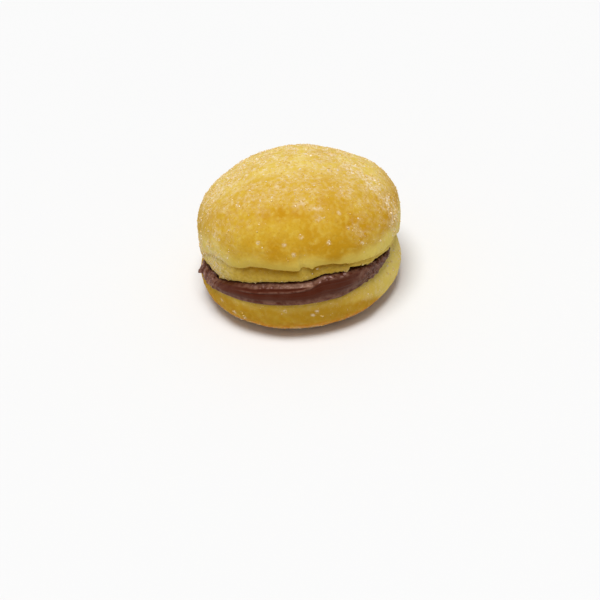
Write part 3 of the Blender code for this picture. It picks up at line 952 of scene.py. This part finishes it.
def cream_face(angle, h, cream):
    """How many millimetres the cream stands out over the line between the two lips, h from bottom to top."""
    rise = min(h / CREAM_FULLEST, 1.0)
    shoulder = max((h - CREAM_SHOULDER_FROM) / (1.0 - CREAM_SHOULDER_FROM), 0.0)
    out = math.sin(math.pi / 2.0 * rise**CREAM_BULGE_ROUNDNESS)
    out -= CREAM_SHOULDER_DROP * shoulder**CREAM_SHOULDER_POWER
    on_shoulder = min(CREAM_SHOULDER_SPEED * shoulder, 1.0)
    streaks = cream.streak_depth / MM * noise.fractal(in_waves(angle, h, STREAK_WAVES), *STREAK_OCTAVES)
    streaks *= 1.0 - STREAKS_FADE * on_shoulder
    streaks += FINE_STREAK_DEPTH * noise.noise(in_waves(angle, h, FINE_STREAK_WAVES)) * on_shoulder
    relief = (CREAM_RIDGE * on_ridge(angle, h) + streaks) * follow(CREAM_SMOOTH, angle)
    waves = SLOW_WAVE_DEPTH * noise.noise(in_waves(angle, h, SLOW_WAVES))
    full = mix(1.0, CREAM_RIGHT_SHARE, smooth(*CREAM_RIGHT_THINS, angle))
    return CREAM_BULGE * full * out + relief + waves * smooth(0.0, SLOW_WAVES_START, h)


def cream_angle(station):
    """The angle of a section of the cream: its stations run from -1 on the left to 1 on the right."""
    return mix(CREAM_FIRST_ANGLE, CREAM_LAST_ANGLE, (station + 1.0) / 2.0)


def cream_point(station, zone, k, cream):
    """A point of the section at a station, k along a part of its outline."""
    angle = cream_angle(station)
    closing = 1.0 - abs(station) ** CREAM_END_POWER
    deepest = CREAM_DEPTH * mix(CREAM_END_DEPTH, 1.0, closing)
    depth = {"bottom": 1.0 - k, "bulge": 0.0, "top": k, "back": 1.0}[zone] * deepest
    h = {"bottom": 0.0, "bulge": face_height(k), "top": 1.0, "back": 1.0 - k}[zone]
    crevice = CREVICE_HEIGHT * smooth(CREVICE_DEPTH, 0.0, depth) * follow(CREAM_SMOOTH, angle)
    bottom = cut_face(angle, depth, False) + UP * CREAM_CLEARANCE * smooth(0.0, CLEARANCE_DEPTH, depth)
    top = cut_face(angle, depth, True, frayed=False) - UP * (CREAM_CLEARANCE + crevice)
    point = bottom.lerp(top, mix(0.5, h, closing))
    if zone == "bulge":
        face = cream_face(angle, h, cream) * closing * smooth(0.0, CREAM_FACE_STARTS, h)
        tongue = TONGUE_LENGTH * bump(angle, TONGUE_ANGLE, TONGUE_WIDTH)
        tongue *= bump(k, TONGUE_AT, TONGUE_HALF_HEIGHT)
        point += outward(angle) * (face + tongue) - UP * TONGUE_DROOP * tongue
        left = smooth(*HANG_LEFT, angle)
        down = HANG_DOWN + HANG_LEFT_DOWN * left + HANG_MORE * bump(angle, *HANG_MORE_AT)
        down += HANG_WAVER * noise.noise(in_waves(angle, h, HANG_WAVES))
        hanging = smooth(HANG_SHARE + HANG_LEFT_SHARE * left, 0.0, h) * closing
        hanging *= smooth(*HANG_RIGHT_FADE, angle)
        point += (outward(angle) * (HANG_OUT + HANG_LEFT_OUT * left) - UP * down) * hanging
    return point


def make_cream(cream):
    """A sphere with its poles at the two ends of the cut, each station moved to its section."""
    outline = sum(count for _, count in CREAM_ZONES)
    mesh = bmesh.new()
    bmesh.ops.create_uvsphere(mesh, u_segments=outline, v_segments=CREAM_STATIONS, radius=1.0)
    dry_and_painted_light = mesh.verts.layers.float.new("dry_and_painted_light")
    places = []
    for vertex in mesh.verts:
        x, y, z = vertex.co
        station = 2.0 * math.acos(min(max(z, -1.0), 1.0)) / math.pi - 1.0
        step = round(math.atan2(y, x) / (2.0 * math.pi) * outline) % outline
        at_pole = abs(station) > NEARLY_ONE
        zone, k = ("bottom", 0.5) if at_pole else place_in_zones(step, CREAM_ZONES)
        vertex.co = cream_point(station, zone, k, cream)
        places.append((cream_angle(station), zone, k))
    mesh.normal_update()
    for vertex, (angle, zone, k) in zip(mesh.verts, places):
        vertex[dry_and_painted_light] = follow(CREAM_DULL, angle)
        if zone == "bulge":
            # Painted light on the face: a reflection along its bottom and highlights on its ridge and
            # shoulder.
            vertex[dry_and_painted_light] = max(vertex[dry_and_painted_light], painted_cream_light(angle, face_height(k)))
            rough = cream.rough_depth / MM * noise.fractal(vertex.co / ROUGH_SIZE, *ROUGH_OCTAVES)
            vertex.co += vertex.normal * rough * follow(CREAM_TORN, angle)
    mesh.transform(Matrix.Scale(MM, 4))
    return finished("chocolate_cream", mesh)


def in_scene(name, data):
    """An object of this data, put in the scene."""
    made = bpy.data.objects.new(name, data)
    bpy.context.scene.collection.objects.link(made)
    return made


def face_number(face):
    """A number that puts a mesh's faces in one order, because Blender lists a sphere's anew each run."""
    first, second, third = sorted(vertex.index for vertex in face.verts)[:3]
    return (first * MANY_POINTS + second) * MANY_POINTS + third


def finished(name, mesh):
    """A smooth-shaded object from a mesh."""
    mesh.verts.index_update()
    mesh.faces.sort(key=face_number)
    data = bpy.data.meshes.new(name)
    mesh.to_mesh(data)
    mesh.free()
    data.shade_smooth()
    return in_scene(name, data)


def crystal(splinter):
    """The points and triangles of one sugar crystal about a unit wide."""
    mesh = bmesh.new()
    if splinter:
        bmesh.ops.create_cone(
            mesh, cap_ends=True, segments=3, radius1=SPLINTER_RADIUS, radius2=0.0, depth=1.0
        )
    else:
        bmesh.ops.create_cube(mesh, size=1.0)
        upper = [vertex for vertex in mesh.verts if vertex.co.z > 0.0]
        bmesh.ops.scale(mesh, vec=(BLOCK_TOP, BLOCK_TOP, 1.0), verts=upper)
    bmesh.ops.triangulate(mesh, faces=mesh.faces)
    points = np.array([vertex.co[:] for vertex in mesh.verts])
    faces = np.array([[vertex.index for vertex in face.verts] for face in mesh.faces])
    mesh.free()
    return points, faces


def unit(vectors):
    return vectors / np.linalg.norm(vectors, axis=1, keepdims=True)


def lying(random, normal):
    """For each crystal the three axes of its turn: it lies on the crust, tilted a little, turned any way."""
    up = unit(normal + random.normal(0.0, CRYSTAL_TILT, normal.shape))
    side = unit(np.cross(up, random.normal(size=normal.shape)))
    return np.stack((side, np.cross(up, side), up), axis=2)


def scatter(name, dough, count, size, seed, splinter, spread, power, clearness):
    """Strew crystals over the dough, most where its sugar is thick, sunk a little into the crust.

    Their sizes spread about the given one. A high clearness leaves most as clear as the dough under them.
    """
    random = np.random.default_rng(seed)
    data = dough.data
    data.calc_loop_triangles()
    points = np.empty(len(data.vertices) * 3)
    data.vertices.foreach_get("co", points)
    points = points.reshape(-1, 3)
    sugar = np.empty(len(data.vertices))
    data.attributes["sugar"].data.foreach_get("value", sugar)
    corner = np.empty(len(data.loop_triangles) * 3, dtype=np.int64)
    data.loop_triangles.foreach_get("vertices", corner)
    corner = corner.reshape(-1, 3)
    a, b, c = (points[corner[:, i]] for i in range(3))
    across = np.cross(b - a, c - a)
    doubled_area = np.linalg.norm(across, axis=1)
    chance = doubled_area * sugar[corner].mean(axis=1) ** power
    chosen = random.choice(len(corner), size=count, p=chance / chance.sum())
    u, v = random.random((2, count, 1))
    u, v = np.where(u + v > 1.0, 1.0 - u, u), np.where(u + v > 1.0, 1.0 - v, v)
    place = a[chosen] + u * (b - a)[chosen] + v * (c - a)[chosen]
    normal = across[chosen] / doubled_area[chosen][:, None]
    width = size * np.exp(random.normal(0.0, spread, (count, 1)))
    shape = width * random.uniform(CRYSTAL_LEAST, CRYSTAL_MOST, (count, 3))
    white = random.random(count) ** clearness
    grain, faces = crystal(splinter)
    turned = np.einsum("nij,nkj->nki", lying(random, normal), grain[None] * shape[:, None])
    turned += (place + normal * width * CRYSTAL_LIFT)[:, None]
    turned_faces = faces[None] + np.arange(count)[:, None, None] * len(grain)
    made = bpy.data.meshes.new(name)
    made.from_pydata(turned.reshape(-1, 3), [], turned_faces.reshape(-1, 3))
    made.attributes.new("white", "FLOAT", "POINT").data.foreach_set("value", np.repeat(white, len(grain)))
    return in_scene(name, made)


def add_node(made, kind, inputs=None, **settings):
    """Add a node to a material or world, set its properties, and set or link its inputs."""
    node = made.node_tree.nodes.new(kind)
    for name, value in settings.items():
        setattr(node, name, value)
    for name, value in (inputs or {}).items():
        if isinstance(value, bpy.types.NodeSocket):
            made.node_tree.links.new(value, node.inputs[name])
        else:
            node.inputs[name].default_value = value
    return node


def blank_material(name, *facts):
    """A material without nodes but those that read facts off the mesh, and a socket for each fact."""
    made = bpy.data.materials.new(name)
    made.use_nodes = True
    made.node_tree.nodes.clear()
    return made, [add_node(made, "ShaderNodeAttribute", attribute_name=fact).outputs["Fac"] for fact in facts]


def closed_material(made, inputs):
    """Give the material its surface: a Principled shader with these inputs."""
    surface = add_node(made, "ShaderNodeBsdfPrincipled", inputs)
    add_node(made, "ShaderNodeOutputMaterial", {"Surface": surface.outputs["BSDF"]})
    return made


def grainy(made, pattern):
    """Noise of a real size, stretched to run from 0 to 1."""
    size_mm, detail, low, high = pattern
    place = add_node(made, "ShaderNodeTexCoord").outputs["Object"]
    inputs = {"Vector": place, "Scale": 1.0 / (size_mm * MM), "Detail": detail}
    cloud = add_node(made, "ShaderNodeTexNoise", inputs).outputs["Fac"]
    inputs = {"Value": cloud, "From Min": low, "From Max": high}
    return add_node(made, "ShaderNodeMapRange", inputs).outputs["Result"]


def layered(made, colour, *layers):
    """Lay colours over the first: a layer is a colour, how much it covers, and sockets that scale that."""
    colour = (*colour, 1.0)
    for over, share, *scales in layers:
        for scale in scales:
            inputs = {0: share, 1: scale}
            share = add_node(made, "ShaderNodeMath", inputs, operation="MULTIPLY").outputs["Value"]
        inputs = {MIX_SHARE: share, MIX_FIRST: colour, MIX_SECOND: (*over, 1.0)}
        colour = add_node(made, "ShaderNodeMix", inputs, data_type="RGBA").outputs[MIX_RESULT]
    return colour


def fried_dough_material(crust, sugar):
    """Yeast dough fried golden in oil: a matt skin with a trace of fat, pale where it didn't fry."""
    made, (pale, brown, shade, torn, thick, toasted) = blank_material("fried_yeast_dough", *CRUST_FACTS)
    colour = layered(
        made,
        crust.golden,
        (crust.browned, 0.25, grainy(made, GOLDEN_CLOUDS)),
        (crust.browned, 1.0, brown),
        (crust.toasted, 1.0, toasted),
        (crust.pale, 0.4, grainy(made, PALE_FLECKS)),
        (crust.browned, 0.6, grainy(made, BROWN_FLECKS)),
        (crust.pale, 0.86, pale),
        # Painted shade in the crease, under and over the rim, on the front of the lower half and inside the
        # cut.
        (crust.shaded, 1.0, shade),
        # Painted shade in the pits of the torn crumb.
        (crust.shaded, 0.7, torn, grainy(made, CRUMB_PIT_SHADE)),
        (sugar.white, 1.6, thick, grainy(made, SUGAR_HAZE)),
    )
    inputs = {"Height": grainy(made, SKIN_GRAIN), "Distance": 0.16 * MM, "Strength": 0.8}
    skin = add_node(made, "ShaderNodeBump", inputs).outputs["Normal"]
    inputs = {"Base Color": colour, "Roughness": 0.7, "Specular IOR Level": 0.05, "Normal": skin}
    return closed_material(made, inputs)


def cream_material(cream):
    """Chocolate cream, spread and left: fat gives it a soft gloss, duller where it dried and tore.

    Its colour also holds a painted reflection along the bottom and painted highlights and glints above.
    """
    made, (dry_and_painted_light,) = blank_material("chocolate_hazelnut_cream", "dry_and_painted_light")
    inputs = {"Value": dry_and_painted_light, "From Min": SPECKS_FROM, "From Max": SPECKS_FULL}
    specks_and_glints = add_node(made, "ShaderNodeMapRange", inputs).outputs["Result"]
    colour = layered(
        made,
        cream.dark,
        (cream.light, 0.06, grainy(made, CREAM_CLOUDS)),
        # The dry ends, and painted light: a reflection along the bottom and highlights on the shoulder and
        # ridge.
        (cream.light, 1.0, dry_and_painted_light, grainy(made, CREAM_DRY_AND_LIT_PATCHES)),
        # Painted glints on the shoulder, dried specks at the ends.
        (cream.specks, 1.0, specks_and_glints, grainy(made, CREAM_SPECKS)),
    )
    inputs = {"Height": grainy(made, CREAM_GRAIN), "Distance": 0.05 * MM, "Strength": 0.7}
    skin = add_node(made, "ShaderNodeBump", inputs).outputs["Normal"]
    inputs = {"Value": dry_and_painted_light, "To Min": 0.33, "To Max": 0.4}
    gloss = add_node(made, "ShaderNodeMapRange", inputs).outputs["Result"]
    inputs = {"Base Color": colour, "Roughness": gloss, "Specular IOR Level": 0.3, "Normal": skin}
    return closed_material(made, {**inputs, "Specular Tint": (*cream.sheen, 1.0)})


def sugar_material(sugar):
    """Caster sugar: clear crystals whose broken faces scatter the light, so that each looks white."""
    made, (white,) = blank_material("caster_sugar", "white")
    colour = layered(made, sugar.clear, (sugar.white, 1.0, white))
    return closed_material(made, {"Base Color": colour, "Roughness": 0.3, "IOR": 1.55})


def floor_material(stage):
    """Matt painted board."""
    made, _ = blank_material("painted_board")
    colour = layered(made, stage.floor, (stage.backdrop, 0.02, grainy(made, BOARD_CLOUDS)))
    return closed_material(made, {"Base Color": colour, "Roughness": 0.9})


def dressed(piece, made, slot_name, *replaced):
    """Give a piece its material and its body, and hide the node it stands for. The slot name is not used."""
    piece.data.materials.append(made)
    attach(piece, "root")
    if replaced:
        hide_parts(*replaced)


class BERLINER_OT_stage(bpy.types.Operator):
    """Set the floor, the light and the camera"""

    bl_idname = "berliner.stage"
    bl_label = "Set the Stage"
    bl_options = {"REGISTER", "UNDO"}

    def execute(self, context):
        stage = context.scene.berliner.stage
        make_floor(stage)
        make_light(context.scene, stage)
        make_camera(context.scene, stage)
        context.scene.view_settings.view_transform = "Standard"
        return {"FINISHED"}


def make_floor(stage):
    mesh = bmesh.new()
    bmesh.ops.create_circle(mesh, cap_ends=True, segments=64, radius=FLOOR_REACH)
    board = finished("floor_board", mesh)
    board.data.materials.append(floor_material(stage))


def make_light(scene, stage):
    """A pale sky all round and a broad key light from above, in front and a little to the left."""
    sky = bpy.data.worlds.new("studio_sky")
    sky.use_nodes = True
    sky.node_tree.nodes.clear()
    inputs = {"Color": (1.0, 1.0, 1.0, 1.0), "Strength": stage.sky_strength}
    lighting = add_node(sky, "ShaderNodeBackground", inputs).outputs["Background"]
    inputs = {"Color": (*stage.backdrop, 1.0), "Strength": 1.0}
    backdrop = add_node(sky, "ShaderNodeBackground", inputs).outputs["Background"]
    seen = add_node(sky, "ShaderNodeLightPath").outputs["Is Camera Ray"]
    both = add_node(sky, "ShaderNodeMixShader", {0: seen, 1: lighting, 2: backdrop}).outputs["Shader"]
    add_node(sky, "ShaderNodeOutputWorld", {"Surface": both})
    scene.world = sky
    key = bpy.data.lights.new("key_light", "SUN")
    key.energy = stage.key_strength
    key.angle = stage.key_softness
    lamp = in_scene("key_light", key)
    lamp.rotation_euler = (math.pi / 2.0 - stage.key_height, 0.0, -stage.key_turn)


def make_camera(scene, stage):
    """The photograph's view: looking down, rolled a little, the doughnut in the upper half of the frame."""
    down, roll = stage.camera_height, stage.camera_roll
    ahead = Vector((0.0, math.cos(down), -math.sin(down)))
    level = Vector((1.0, 0.0, 0.0))
    above = level.cross(ahead)
    right = level * math.cos(roll) + above * math.sin(roll)
    up = above * math.cos(roll) - level * math.sin(roll)
    side = (AIM_PIXEL[0] - PHOTO_SIZE / 2.0) / PHOTO_FOCAL * stage.camera_distance
    rise = (PHOTO_SIZE / 2.0 - AIM_PIXEL[1]) / PHOTO_FOCAL * stage.camera_distance
    place = AIM - right * side - up * rise - ahead * stage.camera_distance
    lens = bpy.data.cameras.new("camera")
    lens.sensor_width = 36.0
    lens.lens = PHOTO_FOCAL / PHOTO_SIZE * lens.sensor_width
    camera = in_scene("camera", lens)
    turn = Matrix((right, up, -ahead)).transposed().to_4x4()
    camera.matrix_world = Matrix.Translation(place) @ turn
    scene.camera = camera


class BERLINER_OT_dough(bpy.types.Operator):
    """Shape the fried dough with its cut, its crease and its crust"""

    bl_idname = "berliner.dough"
    bl_label = "Shape the Dough"
    bl_options = {"REGISTER", "UNDO"}

    def execute(self, context):
        settings = context.scene.berliner
        dough = make_dough(settings.crust)
        dressed(dough, fried_dough_material(settings.crust, settings.sugar), "dough", "dough")
        return {"FINISHED"}


class BERLINER_OT_cream(bpy.types.Operator):
    """Spread the chocolate cream in the cut"""

    bl_idname = "berliner.cream"
    bl_label = "Spread the Cream"
    bl_options = {"REGISTER", "UNDO"}

    def execute(self, context):
        settings = context.scene.berliner
        cream = make_cream(settings.cream)
        dressed(cream, cream_material(settings.cream), "chocolate", "chocolate_filling")
        return {"FINISHED"}


class BERLINER_OT_sugar(bpy.types.Operator):
    """Strew sugar grains and sugar dust on the crust"""

    bl_idname = "berliner.sugar"
    bl_label = "Strew the Sugar"
    bl_options = {"REGISTER", "UNDO"}

    def execute(self, context):
        sugar = context.scene.berliner.sugar
        dough = bpy.data.objects.get("fried_dough")
        if dough is None:
            raise RuntimeError("shape the dough before strewing sugar on it")
        made = sugar_material(sugar)
        sizes = (sugar.grains, sugar.grain_size, sugar.seed)
        grains = scatter("sugar_grains", dough, *sizes, splinter=False, spread=0.25, power=1.4, clearness=3.0)
        dressed(grains, made, "dough")
        sizes = (sugar.dust, sugar.dust_size, sugar.seed + 1)
        dust = scatter("sugar_dust", dough, *sizes, splinter=True, spread=0.3, power=1.0, clearness=2.0)
        dressed(dust, made, "dough")
        return {"FINISHED"}


class BERLINER_PT_panel(bpy.types.Panel):
    """The steps and settings of the doughnut"""

    bl_idname = "BERLINER_PT_panel"
    bl_label = "Berliner Doughnut"
    bl_space_type = "VIEW_3D"
    bl_region_type = "UI"
    bl_category = "Berliner"

    def draw(self, context):
        settings = context.scene.berliner
        for group, operator in STEPS:
            box = self.layout.box()
            box.operator(f"berliner.{operator}")
            part = getattr(settings, group)
            for name in part.__annotations__:
                box.prop(part, name)


CLASSES = (
    BerlinerCrust,
    BerlinerCream,
    BerlinerSugar,
    BerlinerStage,
    BerlinerSettings,
    BERLINER_OT_stage,
    BERLINER_OT_dough,
    BERLINER_OT_cream,
    BERLINER_OT_sugar,
    BERLINER_PT_panel,
)


def register():
    for kind in CLASSES:
        bpy.utils.register_class(kind)
    bpy.types.Scene.berliner = bpy.props.PointerProperty(
        name="Berliner", description="The doughnut's settings", type=BerlinerSettings
    )


def unregister():
    del bpy.types.Scene.berliner
    for kind in reversed(CLASSES):
        bpy.utils.unregister_class(kind)


def main():
    register()
    bpy.ops.berliner.stage()
    bpy.ops.berliner.dough()
    bpy.ops.berliner.cream()
    bpy.ops.berliner.sugar()


if __name__ == "__main__":
    main()
